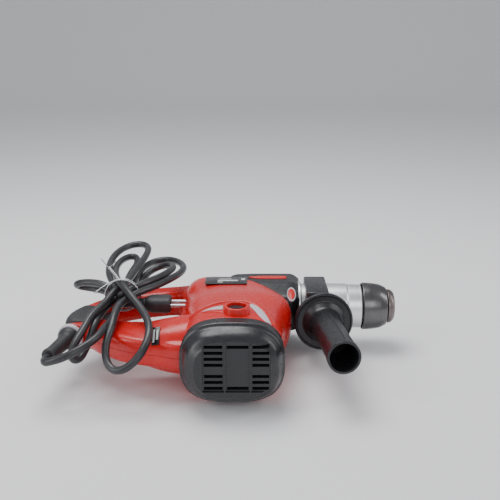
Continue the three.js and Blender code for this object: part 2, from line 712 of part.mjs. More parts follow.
function makeCord() {
  const guard = [
    [0, 0],
    [9, 0],
    [9, -5],
    [7.8, -6],
    [7.2, -34],
    [6.4, -56],
    [0, -56],
  ];
  piece("cord_guard", alongGuard(turned(guard, 20, "y", [0, 0, 0])), rubber);
  piece("cord_collar", alongGuard(ring(12.5, 9 + GAP, -5.5, 0.8, "y", [0, 0, 0], 24)), lightInsert);
  const lead = [
    [-196.6, -152.7, 0],
    [-199, -162, 0],
    [-199, -175, 1.5],
    [-189, -185, 5],
    [-171, -182, 11],
    [-152, -167, 18],
    [-134, -148, 25],
    [-124, -131, 28.5],
  ];
  piece("cord", tube(lead, CORD_RADIUS, 22, 8), rubber);
  const hankOutline = smoothPath(
    [[-118, -128], [-150, -112], [-176, -70], [-196, -20], [-202, 6], [-172, 16], [-156, 62], [-128, 90],
      [-108, 66], [-92, 54], [-60, 38], [-56, 16], [-84, -12], [-112, -34], [-121, -58], [-106, -82],
      [-86, -100], [-98, -126]],
    46,
  );
  const hank = new THREE.ExtrudeGeometry(new THREE.Shape(hankOutline), {
    depth: HANK_TOP - HANK_BOTTOM,
    bevelEnabled: false,
  });
  piece("cord_hank", hank.translate(0, 0, HANK_BOTTOM), rubber);
  piece("twist_tie", block([-148, -30, HANK_TOP + GAP], [-112, -27.5, HANK_TOP + 2.5]), steel);
}

// The mains plug lies with its pins over the motor housing's rear shoulder.
function makePlug() {
  const sections = [
    [-116, 4.8, 4.8],
    [-103, 6.4, 6.4],
    [-100, 9.5, 8],
    [-95, 12.5, 9],
    [-77, 13, 9],
    [-74, 12, 8],
  ];
  const body = skin(
    sections.map(([x, halfY, halfZ]) =>
      roundedOutline(halfY, halfZ, 2.6, 20).map(([u, v]) => new THREE.Vector3(x, PLUG_Y + u, PLUG_Z + v)),
    ),
  );
  const pins = [-7, 7].map((y) => rod(2, -76, -56, "x", [0, PLUG_Y + y, PLUG_Z], 12));
  piece("plug", join(body, ...pins), rubber);
}

// ---- Trim and knobs ----

function makeKnobs() {
  for (const [name, [x, y, top]] of [["mode_knob", KNOB_PLACES[0]], ["chisel_knob", KNOB_PLACES[1]]]) {
    const dial = turned([[0, -46], [15, -46], [17.5, -43], [18, top], [0, top]], 24, "z", [x, y, 0]);
    const wing = block([x - 16, y - 4, -50], [x + 16, y + 4, -44]);
    const stub = rod(5.6, top - 1, top + 6, "z", [x, y, 0], 14);
    piece(name, join(dial, wing, stub), darkPlastic);
  }
}

function makeTrim() {
  const plate = new THREE.BoxGeometry(50, 36, 0.9).rotateX(-0.1).translate(-11.5, -5.5, 34.9);
  piece("name_plate", plate, labelBlack);
  piece("side_stripe", block([STRIPE_X[0], STRIPE_Y[0], 28.9], [STRIPE_X[1], STRIPE_Y[1], 30.7]), redPlastic);
  const badge = new THREE.CylinderGeometry(5, 5, 1.4, 16).scale(1, 1, 1.7).rotateX(2.27);
  piece("front_badge", badge.translate(65, -29.2, 28.4), redPlastic);
}

makeCrankcase();
makeMotorHousing();
makeGearCover();
makeEndCover();
makeMotor();
makeCrank();
makeConnectingRod();
makePiston();
makeStriker();
makeSpindle();
makeBevelDrive();
makeBarrel();
makeToolHolder();
makeSideHandle();
makeRearHandle();
makeCord();
makePlug();
makeKnobs();
makeTrim();

// Nodes of the cord, which don't count in the tool's own size.
const CORD_NODES = ["cord", "cord_hank", "twist_tie", "plug", "cord_guard"];

// The origin is the middle of the tool's own bounding box, at the height of its lowest point.
const extent = new THREE.Box3();
tool.children.filter((mesh) => !CORD_NODES.includes(mesh.name)).forEach((mesh) => extent.expandByObject(mesh));
const middle = extent.getCenter(new THREE.Vector3());
tool.position.set(-middle.x, -middle.y, -extent.min.z);

const group = new THREE.Group();
group.add(tool);
export default group;
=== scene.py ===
# The looks of a corded rotary hammer that lies on its left side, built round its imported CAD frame.
# Shapes are drawn in millimetres about the hub, the point where the barrel axis crosses the motor axis.
# +X runs along the barrel to the nose, +Y is the tool's top, +Z its right side, which faces up.
import json
import math

import bmesh
import bpy
import numpy as np
from mathutils import Matrix, Vector


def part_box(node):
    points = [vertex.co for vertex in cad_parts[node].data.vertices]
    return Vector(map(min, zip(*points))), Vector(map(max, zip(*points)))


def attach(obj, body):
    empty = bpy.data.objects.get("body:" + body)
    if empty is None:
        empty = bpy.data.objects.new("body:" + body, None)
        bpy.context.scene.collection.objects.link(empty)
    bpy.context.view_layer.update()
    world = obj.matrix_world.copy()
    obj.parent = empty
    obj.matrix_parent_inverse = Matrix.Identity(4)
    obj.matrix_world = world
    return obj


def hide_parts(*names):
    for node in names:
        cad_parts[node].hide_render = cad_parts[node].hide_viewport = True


MM = 0.001

# Camera: how far it is from the hub, how high it looks down on the tool, and where the hub sits in its view.
CAMERA_DISTANCE = 1.085
CAMERA_HEIGHT_ANGLE = 20.5
CAMERA_PITCH = 16.9
CAMERA_SIDE = 0.017
CAMERA_LENS = 63.9

# Mains cord, its guard and its plug.
CORD_DIAMETER = 8.5
GUARD_FOOT = np.array([-183.0, -98.0, 0.0])
GUARD_LEAN = math.radians(-14)
CORD_EXIT = (-196.6, -152.7, 0.0)
TIE_CENTRE = np.array([-131.0, -53.0, 0.0])
PLUG_Y = -58.0
PLUG_Z = 24.5

# Side handle.
SIDE_HANDLE_X = 96.0
SIDE_HANDLE_TURN = math.radians(-3.5)
GRIP_LEAN = math.radians(5.5)

# Motor end, brush boss and air slots.
COVER_JOINT_Y = -156.0
MOTOR_END_Y = -190.0
BOSS = (2.0, -140.0)
AIR_SLOTS = [
    (-20.5, 9.5, [26, 19.4, 12.8, 6.2, -6.2, -12.8, -19.4]),
    (4.5, 11.0, [26, -19.4]),
    (28.0, 8.5, [26, 19.4, 12.8, 6.2, -6.2, -12.8, -19.4]),
]

# Sections of the motor housing: y, middle x, half width, half thickness, squareness.
HOUSING = [
    (COVER_JOINT_Y, -1.5, 54.5, 45.0, 2.8),
    (-125.0, -1.0, 54.5, 46.0, 2.8),
    (-98.0, 0.0, 56.0, 45.5, 2.8),
    (-72.0, 2.0, 60.0, 43.5, 2.8),
    (-48.0, 3.0, 62.0, 39.5, 2.9),
    (-28.0, -1.0, 59.0, 36.0, 3.0),
    (-8.0, -8.0, 54.0, 33.5, 3.4),
    (12.0, -15.0, 46.0, 31.5, 3.4),
    (28.0, -24.0, 35.0, 28.0, 3.0),
    (38.0, -29.0, 26.0, 22.0, 2.6),
]

# Sections of the motor end cover, in the same order.
END_COVER = [
    (COVER_JOINT_Y - 0.4, -1.5, 54.6, 45.2, 2.8),
    (-164.0, -1.5, 54.6, 44.6, 2.8),
    (-170.0, -1.5, 54.4, 44.2, 2.8),
    (-171.2, -1.5, 53.2, 43.0, 2.8),
    (-177.0, -1.5, 50.6, 40.4, 2.8),
    (-184.0, -1.5, 47.0, 36.5, 2.8),
    (MOTOR_END_Y, -1.5, 40.0, 30.5, 2.8),
]

# Outside and finger gap of the rear handle, and the thicker part where its lower arm meets the housing.
HANDLE_OUTLINE = [
    (-40, 32), (-75, 32), (-106, 23), (-136, 7), (-160, -13), (-178, -37), (-189, -58), (-191.5, -76),
    (-188, -87), (-177, -93), (-163, -101), (-148, -117), (-120, -138), (-85, -150), (-45, -153),
    (-30, -60),
]
FINGER_GAP = [
    (-68, 0), (-98, -4), (-128, -17), (-146, -33), (-153, -54), (-151, -72), (-140, -82), (-110, -86),
    (-78, -84), (-66, -68), (-64, -36),
]
FLARE = [
    (-140, -104, 12, 15), (-122, -110, 21, 16), (-100, -116, 29, 20), (-75, -120, 32, 27),
    (-40, -120, 33, 33),
]

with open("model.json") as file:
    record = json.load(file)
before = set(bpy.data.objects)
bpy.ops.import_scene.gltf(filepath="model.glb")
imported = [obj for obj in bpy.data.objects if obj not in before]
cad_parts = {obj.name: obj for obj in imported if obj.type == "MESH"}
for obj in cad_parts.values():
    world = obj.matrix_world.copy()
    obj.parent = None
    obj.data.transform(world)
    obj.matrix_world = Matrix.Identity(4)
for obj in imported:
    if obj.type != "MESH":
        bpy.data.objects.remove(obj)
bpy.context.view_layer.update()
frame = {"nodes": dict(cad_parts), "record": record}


def middle(node, axis):
    low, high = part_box(node)
    return (low[axis] + high[axis]) / 2


HUB = np.array([middle("armature_core", 0), middle("front_barrel", 1), middle("front_barrel", 2)])


def metres(points):
    """Turns points in millimetres about the hub into metres in the part's frame."""
    return np.asarray(points, float) * MM + HUB


# ---- Camera, floor and light ----

def make_camera():
    angle = math.radians(CAMERA_HEIGHT_ANGLE)
    data = bpy.data.cameras.new("camera")
    data.lens = CAMERA_LENS
    data.sensor_width = 36.0
    data.clip_start = 0.01
    camera = bpy.data.objects.new("camera", data)
    bpy.context.collection.objects.link(camera)
    camera.location = Vector(HUB) + Vector(
        (CAMERA_SIDE, -math.cos(angle) * CAMERA_DISTANCE, math.sin(angle) * CAMERA_DISTANCE)
    )
    camera.rotation_euler = (math.radians(90 - CAMERA_PITCH), 0, 0)
    bpy.context.scene.camera = camera


def make_area_light(name, place, target, size, power, colour=(1, 1, 1)):
    data = bpy.data.lights.new(name, "AREA")
    data.shape = "RECTANGLE"
    data.size = size[0]
    data.size_y = size[1]
    data.energy = power
    data.color = colour
    light = bpy.data.objects.new(name, data)
    bpy.context.collection.objects.link(light)
    light.location = place
    light.rotation_euler = (Vector(target) - Vector(place)).to_track_quat("-Z", "Y").to_euler()


def make_stage():
    mesh = bpy.data.meshes.new("floor")
    size, back, rise, bend = 6.0, 2.2, 3.0, 0.8
    rows = [(-size, 0.0), (back, 0.0)]
    rows += [
        (back + bend * math.sin(a), bend * (1 - math.cos(a)))
        for a in np.linspace(0.1, math.pi / 2, 12)
    ]
    rows.append((back + bend, rise))
    points = [(x, y, z - 0.0002) for y, z in rows for x in (-size, size)]
    faces = [(2 * i, 2 * i + 1, 2 * i + 3, 2 * i + 2) for i in range(len(rows) - 1)]
    mesh.from_pydata(points, [], faces)
    for polygon in mesh.polygons:
        polygon.use_smooth = True
    floor = bpy.data.objects.new("floor", mesh)
    bpy.context.collection.objects.link(floor)
    material = bpy.data.materials.new("floor_pale")
    material.use_nodes = True
    shader = material.node_tree.nodes["Principled BSDF"]
    shader.inputs["Base Color"].default_value = (0.86, 0.86, 0.87, 1)
    shader.inputs["Roughness"].default_value = 0.6
    mesh.materials.append(material)

    world = bpy.data.worlds.new("studio")
    world.use_nodes = True
    world.node_tree.nodes["Background"].inputs["Color"].default_value = (0.93, 0.95, 1.0, 1)
    world.node_tree.nodes["Background"].inputs["Strength"].default_value = 0.5
    bpy.context.scene.world = world
    make_area_light("key", (-0.25, 0.35, 1.25), (0, 0, 0.05), (0.9, 0.7), 14)
    make_area_light("front_fill", (0.5, -1.5, 0.9), (0, 0, 0.05), (1.0, 0.8), 6)
    make_area_light("left_strip", (-1.2, -0.5, 0.6), (0, -0.05, 0.05), (0.25, 1.2), 6)
    make_area_light("right_strip", (1.2, 0.1, 0.7), (0, 0, 0.05), (0.3, 1.2), 5)


# ---- Materials ----

class Recipe:
    """Builds one procedural material, node by node."""

    def __init__(self, name, colour, roughness, metallic=0.0):
        self.material = bpy.data.materials.new(name)
        self.material.use_nodes = True
        self.tree = self.material.node_tree
        self.shader = self.tree.nodes["Principled BSDF"]
        self.shader.inputs["Base Color"].default_value = (*colour, 1)
        self.shader.inputs["Roughness"].default_value = roughness
        self.shader.inputs["Metallic"].default_value = metallic
        self.place = self.add("ShaderNodeTexCoord").outputs["Object"]
        self.height = None

    def add(self, kind, **settings):
        node = self.tree.nodes.new(kind)
        for key, value in settings.items():
            setattr(node, key, value)
        return node

    def link(self, source, target):
        self.tree.links.new(source, target)

    def noise(self, scale, detail=3.0, stretch=(1, 1, 1)):
        """A noise of the given number of features per metre, drawn out along the axes."""
        mapping = self.add("ShaderNodeMapping")
        mapping.inputs["Scale"].default_value = stretch
        self.link(self.place, mapping.inputs["Vector"])
        noise = self.add("ShaderNodeTexNoise")
        noise.inputs["Scale"].default_value = scale
        noise.inputs["Detail"].default_value = detail
        self.link(mapping.outputs["Vector"], noise.inputs["Vector"])
        return noise.outputs["Fac"]

    def ramp(self, value, low, high, colour_low, colour_high):
        ramp = self.add("ShaderNodeValToRGB")
        ramp.color_ramp.elements[0].position = low
        ramp.color_ramp.elements[1].position = high
        ramp.color_ramp.elements[0].color = (*colour_low, 1)
        ramp.color_ramp.elements[1].color = (*colour_high, 1)
        self.link(value, ramp.inputs["Fac"])
        return ramp.outputs["Color"]

    def colour_spread(self, value, colour_low, colour_high, low=0.3, high=0.7):
        self.link(self.ramp(value, low, high, colour_low, colour_high), self.shader.inputs["Base Color"])

    def roughness_spread(self, value, low, high):
        span = self.add("ShaderNodeMapRange")
        span.inputs["From Min"].default_value = 0.3
        span.inputs["From Max"].default_value = 0.7
        span.inputs["To Min"].default_value = low
        span.inputs["To Max"].default_value = high
        self.link(value, span.inputs["Value"])
        self.link(span.outputs["Result"], self.shader.inputs["Roughness"])

    def bump(self, value, depth_mm, strength=1.0):
        bump = self.add("ShaderNodeBump")
        bump.inputs["Distance"].default_value = depth_mm * MM
        bump.inputs["Strength"].default_value = strength
        self.link(value, bump.inputs["Height"])
        if self.height is not None:
            self.link(self.height, bump.inputs["Normal"])
        self.height = bump.outputs["Normal"]
        self.link(self.height, self.shader.inputs["Normal"])


def scaled(colour, amount):
    return tuple(min(1.0, c * amount) for c in colour)


def moulded_plastic(name, colour, roughness, grain_mm=0.02):
    """Injection-moulded plastic: a fine spark-eroded grain and a slow variation in tone."""
    recipe = Recipe(name, colour, roughness)
    slow = recipe.noise(14, 2)
    recipe.colour_spread(slow, scaled(colour, 0.93), scaled(colour, 1.06))
    recipe.roughness_spread(recipe.noise(160, 3), roughness - 0.05, roughness + 0.07)
    recipe.bump(recipe.noise(2600, 2), grain_mm)
    recipe.shader.inputs["IOR"].default_value = 1.5
    return recipe.material


def soft_rubber(name, colour, roughness, grain_mm=0.03):
    """Moulded rubber: matt, dusty in places, with a soft grain."""
    recipe = Recipe(name, colour, roughness)
    dust = recipe.noise(45, 5)
    recipe.colour_spread(dust, scaled(colour, 0.85), scaled(colour, 1.35))
    recipe.roughness_spread(recipe.noise(220, 3), roughness - 0.06, roughness + 0.08)
    recipe.bump(recipe.noise(1500, 3), grain_mm)
    recipe.shader.inputs["IOR"].default_value = 1.48
    return recipe.material


def turned_metal(name, colour, roughness, axis):
    """Lathe-turned metal: fine rings round the given axis over a broad, soft variation."""
    recipe = Recipe(name, colour, roughness, 1.0)
    stretch = [6.0, 6.0, 6.0]
    stretch[axis] = 900.0
    rings = recipe.noise(1.0, 3, tuple(stretch))
    recipe.roughness_spread(rings, roughness - 0.06, roughness + 0.1)
    recipe.colour_spread(recipe.noise(30, 3), scaled(colour, 0.92), scaled(colour, 1.04))
    recipe.bump(rings, 0.004)
    return recipe.material


def cast_metal(name, colour, roughness):
    recipe = Recipe(name, colour, roughness, 1.0)
    recipe.colour_spread(recipe.noise(60, 4), scaled(colour, 0.8), scaled(colour, 1.1))
    recipe.roughness_spread(recipe.noise(400, 4), roughness - 0.08, roughness + 0.12)
    recipe.bump(recipe.noise(900, 4), 0.05)
    return recipe.material


def make_materials():
    return {
        "red": moulded_plastic("red_plastic", (0.60, 0.008, 0.006), 0.28),
        "dark": moulded_plastic("dark_plastic", (0.016, 0.017, 0.020), 0.3, 0.03),
        "side_grip": soft_rubber("side_grip_rubber", (0.015, 0.015, 0.018), 0.3, 0.015),
        "rubber": soft_rubber("soft_rubber", (0.026, 0.026, 0.029), 0.5),
        "cord": soft_rubber("cord_sheath", (0.026, 0.026, 0.029), 0.32, 0.02),
        "light": moulded_plastic("light_grey_insert", (0.56, 0.53, 0.58), 0.35),
        "silver": turned_metal("silver_aluminium", (0.90, 0.90, 0.91), 0.36, 0),
        "cast": cast_metal("cast_aluminium", (0.62, 0.62, 0.63), 0.42),
        "sleeve": turned_metal("dark_sleeve_metal", (0.15, 0.145, 0.15), 0.28, 0),
        "nose": turned_metal("dark_nose_metal", (0.20, 0.17, 0.165), 0.34, 0),
        "steel": turned_metal("ground_steel", (0.56, 0.57, 0.58), 0.25, 0),
        "dark_steel": cast_metal("dark_steel", (0.12, 0.12, 0.13), 0.38),
        "copper": cast_metal("copper_windings", (0.62, 0.28, 0.13), 0.35),
        "brass": cast_metal("brass", (0.68, 0.50, 0.22), 0.3),
        "carbon": soft_rubber("carbon", (0.025, 0.025, 0.027), 0.7),
        "label": moulded_plastic("black_label", (0.010, 0.010, 0.012), 0.22, 0.004),
        "print": moulded_plastic("pale_print", (0.62, 0.62, 0.62), 0.4, 0.004),
    }


# ---- Mesh helpers ----

def smooth_rows(sections, rows):
    """Runs a smooth curve through section values, at evenly spread places along the first value."""
    table = np.array(sections, float)
    keys = table[:, 0]
    order = np.argsort(keys)
    keys, table = keys[order], table[order]
    slopes = np.gradient(table, keys, axis=0)
    places = np.linspace(keys[0], keys[-1], rows)
    found = np.searchsorted(keys, places, side="right").clip(1, len(keys) - 1)
    k0, k1 = keys[found - 1], keys[found]
    step = (k1 - k0)[:, None]
    t = ((places - k0) / (k1 - k0))[:, None]
    h00, h10 = 2 * t**3 - 3 * t**2 + 1, t**3 - 2 * t**2 + t
    h01, h11 = -2 * t**3 + 3 * t**2, t**3 - t**2
    return (
        h00 * table[found - 1]
        + h10 * step * slopes[found - 1]
        + h01 * table[found]
        + h11 * step * slopes[found]
    )


def rounded(half_u, half_v, power, angles):
    c, s = np.cos(angles), np.sin(angles)
    u = half_u * np.sign(c) * np.abs(c) ** (2 / power)
    v = half_v * np.sign(s) * np.abs(s) ** (2 / power)
    return u, v


def even_angles(half_u, half_v, power, count):
    """Angles that spread points evenly along a rounded outline."""
    fine = np.linspace(0, 2 * math.pi, 2001)
    u, v = rounded(half_u, half_v, power, fine)
    run = np.concatenate([[0], np.cumsum(np.hypot(np.diff(u), np.diff(v)))])
    return np.interp(np.linspace(0, run[-1], count, endpoint=False), run, fine)


def mesh_object(name, points, faces, material, smooth=True):
    mesh = bpy.data.meshes.new(name)
    mesh.from_pydata([tuple(p) for p in points], [], faces)
    work = bmesh.new()
    work.from_mesh(mesh)
    bmesh.ops.remove_doubles(work, verts=work.verts, dist=2e-6)
    bmesh.ops.recalc_face_normals(work, faces=work.faces)
    work.to_mesh(mesh)
    work.free()
    for polygon in mesh.polygons:
        polygon.use_smooth = smooth
    mesh.materials.append(material)
    piece = bpy.data.objects.new(name, mesh)
    bpy.context.collection.objects.link(piece)
    return piece


def ring_faces(rows, count, caps=True):
    faces = [
        (r * count + i, r * count + (i + 1) % count, (r + 1) * count + (i + 1) % count, (r + 1) * count + i)
        for r in range(rows - 1)
        for i in range(count)
    ]
    if caps:
        faces.append(tuple(range(count - 1, -1, -1)))
        faces.append(tuple(range((rows - 1) * count, rows * count)))
    return faces


def skin(name, rings, material):
    """A closed skin through rings of points in millimetres about the hub."""
    rings = np.asarray(rings, float)
    rows, count = rings.shape[:2]
    return mesh_object(name, metres(rings.reshape(-1, 3)), ring_faces(rows, count), material)


def turned(name, profile, axis, centre, material, sides=96):
    """A solid of revolution. The profile is a closed loop of (radius, distance along the axis) pairs."""
    angles = np.linspace(0, 2 * math.pi, sides, endpoint=False)
    points = []
    for radius, along in profile:
        ring = np.zeros((sides, 3))
        a, b = [i for i in range(3) if i != axis]
        ring[:, a] = radius * np.cos(angles)
        ring[:, b] = radius * np.sin(angles)
        ring[:, axis] = along
        points.append(ring + np.asarray(centre, float))
    rows = len(profile)
    faces = []
    for r in range(rows):
        for i in range(sides):
            j, n = (i + 1) % sides, (r + 1) % rows
            faces.append((r * sides + i, r * sides + j, n * sides + j, n * sides + i))
    piece = mesh_object(name, metres(np.concatenate(points)), faces, material)
    edge_split(piece)
    return piece


def edge_split(piece, angle=32):
    """Keeps edges sharper than the given angle crisp while the rest shades smooth."""
    mesh = piece.data
    work = bmesh.new()
    work.from_mesh(mesh)
    for edge in work.edges:
        if len(edge.link_faces) == 2:
            edge.smooth = edge.calc_face_angle(0) < math.radians(angle)
    work.to_mesh(mesh)
    work.free()


def fillet(profile, cuts, steps=4):
    """Rounds the corners of a closed profile: cuts gives each corner's radius, 0 for sharp."""
    out = []
    count = len(profile)
    for i, corner in enumerate(profile):
        p = np.array(corner, float)
        before = np.array(profile[i - 1], float) - p
        after = np.array(profile[(i + 1) % count], float) - p
        reach = min(cuts[i], 0.45 * np.linalg.norm(before), 0.45 * np.linalg.norm(after))
        if reach <= 0:
            out.append(tuple(p))
            continue
        a = p + before / np.linalg.norm(before) * reach
        b = p + after / np.linalg.norm(after) * reach
        for t in np.linspace(0, 1, steps + 1):
            out.append(tuple((1 - t) ** 2 * a + 2 * t * (1 - t) * p + t**2 * b))
    return out


BOX_FACES = [(0, 1, 3, 2), (4, 6, 7, 5), (0, 4, 5, 1), (2, 3, 7, 6), (0, 2, 6, 4), (1, 5, 7, 3)]


def box_corners(low, high):
    ends = (low, high)
    return [(ends[i][0], ends[j][1], ends[k][2]) for i in (0, 1) for j in (0, 1) for k in (0, 1)]


def bevelled_box(name, low, high, bevel, material, segments=3):
    piece = mesh_object(name, metres(box_corners(low, high)), BOX_FACES, material)
    work = bmesh.new()
    work.from_mesh(piece.data)
    bmesh.ops.bevel(
        work, geom=list(work.edges), offset=bevel * MM, segments=segments, profile=0.5, affect="EDGES"
    )
    work.to_mesh(piece.data)
    work.free()
    for polygon in piece.data.polygons:
        polygon.use_smooth = True
    return piece


def apply_modifiers(piece):
    graph = bpy.context.evaluated_depsgraph_get()
    mesh = bpy.data.meshes.new_from_object(piece.evaluated_get(graph))
    piece.modifiers.clear()
    piece.data = mesh


def carve(piece, cutters):
    """Cuts the cutter pieces out of a piece, and removes them."""
    for cutter in cutters:
        modifier = piece.modifiers.new("cut", "BOOLEAN")
        modifier.operation = "DIFFERENCE"
        modifier.solver = "EXACT"
        modifier.object = cutter
    bpy.context.view_layer.update()
    apply_modifiers(piece)
    for cutter in cutters:
        bpy.data.objects.remove(cutter)


def wire(name, points, radius, material):
    """A round rod along points in millimetres about the hub."""
    curve = bpy.data.curves.new(name, "CURVE")
    curve.dimensions = "3D"
    curve.bevel_depth = radius * MM
    curve.bevel_resolution = 5
    curve.use_fill_caps = True
    spline = curve.splines.new("POLY")
    line = metres(points)
    spline.points.add(len(line) - 1)
    for target, p in zip(spline.points, line):
        target.co = (*p, 1)
    spline.use_smooth = True
    curve.materials.append(material)
    piece = bpy.data.objects.new(name, curve)
    bpy.context.collection.objects.link(piece)
    return piece


def blend(p0, p1, p2, p3):
    """Points along the smooth curve from p1 to p2."""
    t = np.linspace(0, 1, 24, endpoint=False)[:, None]
    return 0.5 * (
        2 * p1 + (p2 - p0) * t + (2 * p0 - 5 * p1 + 4 * p2 - p3) * t**2 + (3 * p1 - p0 - 3 * p2 + p3) * t**3
    )


def along(points, step):
    """Points evenly spaced along a smooth curve through the given points."""
    p = np.asarray(points, float)
    p = np.vstack([2 * p[0] - p[1], p, 2 * p[-1] - p[-2]])
    parts = [blend(*p[i - 1:i + 3]) for i in range(1, len(p) - 2)]
    return respaced(np.vstack([*parts, p[-2:-1]]), step)


def closed_along(points, step):
    """Points evenly spaced round a smooth closed curve through the given points in plan."""
    p = np.array([(x, y, 0) for x, y in points], float)
    parts = [blend(*(np.roll(p, 1 - i, axis=0)[:4])) for i in range(len(p))]
    line = np.vstack(parts)
    return respaced(np.vstack([line, line[:1]]), step)[:-1]


def respaced(line, step):
    run = np.concatenate([[0], np.cumsum(np.linalg.norm(np.diff(line, axis=0), axis=1))])
    places = np.linspace(0, run[-1], max(2, int(round(run[-1] / step)) + 1))
    return np.stack([np.interp(places, run, line[:, i]) for i in range(3)], axis=1)


# ---- Mains cord ----

# The cord's route, in the order it is laid: from the guard to the tie, loop after loop, then the plug.
ROUTE = [
    (-198, -160, 0), (-196, -169, 1), (-187, -176, 4), (-174, -178, 9), (-160, -172, 15), (-147, -159, 20),
    (-139, -141, 22), (-134, -113, 24), (-133, -80, 27),
    # far loop, outer strand
    (-137, -45, 34), (-151, 0, 38), (-158, 35, 41), (-156, 64, 45), (-147, 88, 48), (-132, 102, 50),
    (-118, 98, 50), (-112, 78, 49), (-116, 46, 46), (-123, 0, 43), (-130, -40, 39),
    # near loop beside the guard
    (-140, -62, 33), (-152, -88, 28), (-161, -118, 21), (-169, -141, 12), (-176, -154, 2), (-172, -158, -7),
    (-163, -146, -9), (-157, -120, 8), (-153, -95, 22), (-148, -70, 24),
    # front loop, outer strand
    (-138, -46, 25), (-128, -8, 28), (-122, 40, 30), (-112, 74, 32), (-97, 84, 34), (-80, 76, 35),
    (-67, 52, 36), (-65, 24, 37), (-76, -6, 38), (-93, -35, 39), (-110, -58, 40),
    # near loop over the lower arm
    (-127, -78, 36), (-133, -108, 29), (-136, -135, 20), (-137, -155, 4), (-131, -170, -9), (-117, -178, -9),
    (-103, -178, 2), (-92, -168, 14), (-88, -148, 25), (-92, -126, 30), (-101, -104, 34), (-113, -84, 39),
    (-124, -66, 42),
    # far loop, inner strand
    (-136, -40, 43), (-146, -6, 41), (-150, 30, 38), (-148, 62, 38), (-140, 84, 38), (-131, 88, 38),
    (-126, 72, 37), (-126, 40, 34), (-129, 5, 31), (-134, -28, 27),
    # front loop, inner strand
    (-136, -56, 30), (-124, -64, 43), (-108, -48, 44), (-92, -24, 43), (-80, 4, 43), (-76, 28, 41),
    (-82, 48, 38), (-95, 58, 34), (-110, 50, 29), (-121, 24, 25), (-129, -10, 23),
    # rear loop
    (-142, -34, 33), (-156, -22, 37), (-172, -14, 36), (-187, -10, 34), (-197, -4, 30), (-198, 5, 24),
    (-188, 9, 21), (-172, 4, 21), (-156, -8, 22), (-142, -28, 24),
    # plug
    (-134, -50, 24), (-127, -57, 24), (-121, -58, 24.5), (-114, PLUG_Y, PLUG_Z),
]


def tool_height(points):
    """Height of the tool's upper surface under each point, in millimetres about the hub."""
    x, y = points[:, 0], points[:, 1]
    top = np.full(len(points), -HUB[2] / MM)
    upper_edge = np.interp(x, [-191, -178, -160, -136, -106, -75], [-64, -37, -13, 7, 23, 32])
    lower_edge = np.interp(x, [-191, -177, -163, -148, -120, -85], [-84, -93, -101, -117, -138, -150])
    handle = (x > -192) & (x < -45) & (y > lower_edge) & (y < upper_edge)
    gap = (x > -150) & (x < -68) & (y > -82) & (y < np.interp(x, [-150, -128, -98, -68], [-40, -19, -6, -2]))
    top = np.where(handle & ~gap, 16.0, top)
    rows = smooth_rows(HOUSING, 120)
    ys = rows[:, 0]
    inside = (y > ys[0]) & (y < ys[-1])
    mid, half_x, half_z, power = [np.interp(y, ys, rows[:, k]) for k in range(1, 5)]
    share = np.clip(np.abs(x - mid) / half_x, 0, 1)
    height = half_z * (1 - share**power) ** (1 / power)
    top = np.where(inside & (share < 1), np.maximum(top, height), top)
    guard = (np.abs(x + 183 + 0.25 * (-98 - y)) < 8.5) & (y > -150) & (y < -98)
    top = np.where(guard, np.maximum(top, 8.0), top)
    plug = (x > -101) & (x < -72) & (np.abs(y - PLUG_Y) < 13)
    return np.where(plug, np.maximum(top, PLUG_Z + 9), top)


def settle(line, rounds=160):
    """Pushes strands apart and lifts them off the tool, then smooths the line."""
    line = line.copy()
    count = len(line)
    index = np.arange(count)
    near = np.abs(index[:, None] - index[None, :]) < 7
    fixed = (index < 6) | (index > count - 4)
    free = ~fixed[1:-1]
    rest = line.copy()
    for _ in range(rounds):
        gap = line[:, None, :] - line[None, :, :]
        distance = np.linalg.norm(gap, axis=2) + 1e-9
        short = np.clip(CORD_DIAMETER + 0.15 - distance, 0, None)
        short[near] = 0
        push = (gap / distance[:, :, None] * (short * 0.25)[:, :, None]).sum(axis=1)
        line[~fixed] += push[~fixed]
        middle_point = (line[:-2] + line[2:]) / 2
        line[1:-1][free] += 0.25 * (middle_point - line[1:-1])[free]
        line[~fixed] += 0.02 * (rest - line)[~fixed]
        floor = tool_height(line) + CORD_DIAMETER / 2 + 0.1
        line[:, 2] = np.where(fixed, line[:, 2], np.maximum(line[:, 2], floor))
    for _ in range(6):
        middle_point = (line[:-2] + line[2:]) / 2
        line[1:-1][free] += 0.4 * (middle_point - line[1:-1])[free]
    return line


def make_cord(looks):
    line = settle(along([CORD_EXIT, *ROUTE], 4.0))
    cord = wire("mains_cord", line, CORD_DIAMETER / 2, looks["cord"])
    cord.data.bevel_resolution = 6
    length = np.linalg.norm(np.diff(line, axis=0), axis=1).sum() * MM
    return cord, float(length), line


# ---- Shells ----

def height_over(sections, x, y):
    """Height of a lofted shell's upper surface over points in plan."""
    rows = smooth_rows(sections, 200)
    mid, half_x, half_z, power = [np.interp(y, rows[:, 0], rows[:, k]) for k in range(1, 5)]
    share = np.clip(np.abs(x - mid) / half_x, 0, 0.999)
    return half_z * (1 - share**power) ** (1 / power)


def lofted(name, sections, material, rows=90, count=160, lip=0.0):
    """A shell lofted along Y, with its two end rims rounded over."""
    table = smooth_rows(sections, rows)
    angles = even_angles(table[0, 2], table[0, 3], table[0, 4], count)
    rings = []
    for y, mid, half_x, half_z, power in table:
        u, v = rounded(half_x, half_z, power, angles)
        rings.append(np.stack([mid + u, np.full(count, y), v], axis=1))
    for end in (0, -1):
        centre = rings[end].mean(axis=0)
        shrunk = [centre + (rings[end] - centre) * k for k in (0.97, 0.6, 0.2)]
        shrunk[0][:, 1] += lip if end == 0 else -lip
        for ring in shrunk[1:]:
            ring[:, 1] = shrunk[0][:, 1]
        rings = shrunk[::-1] + rings if end == 0 else rings + shrunk
    return skin(name, rings, material)


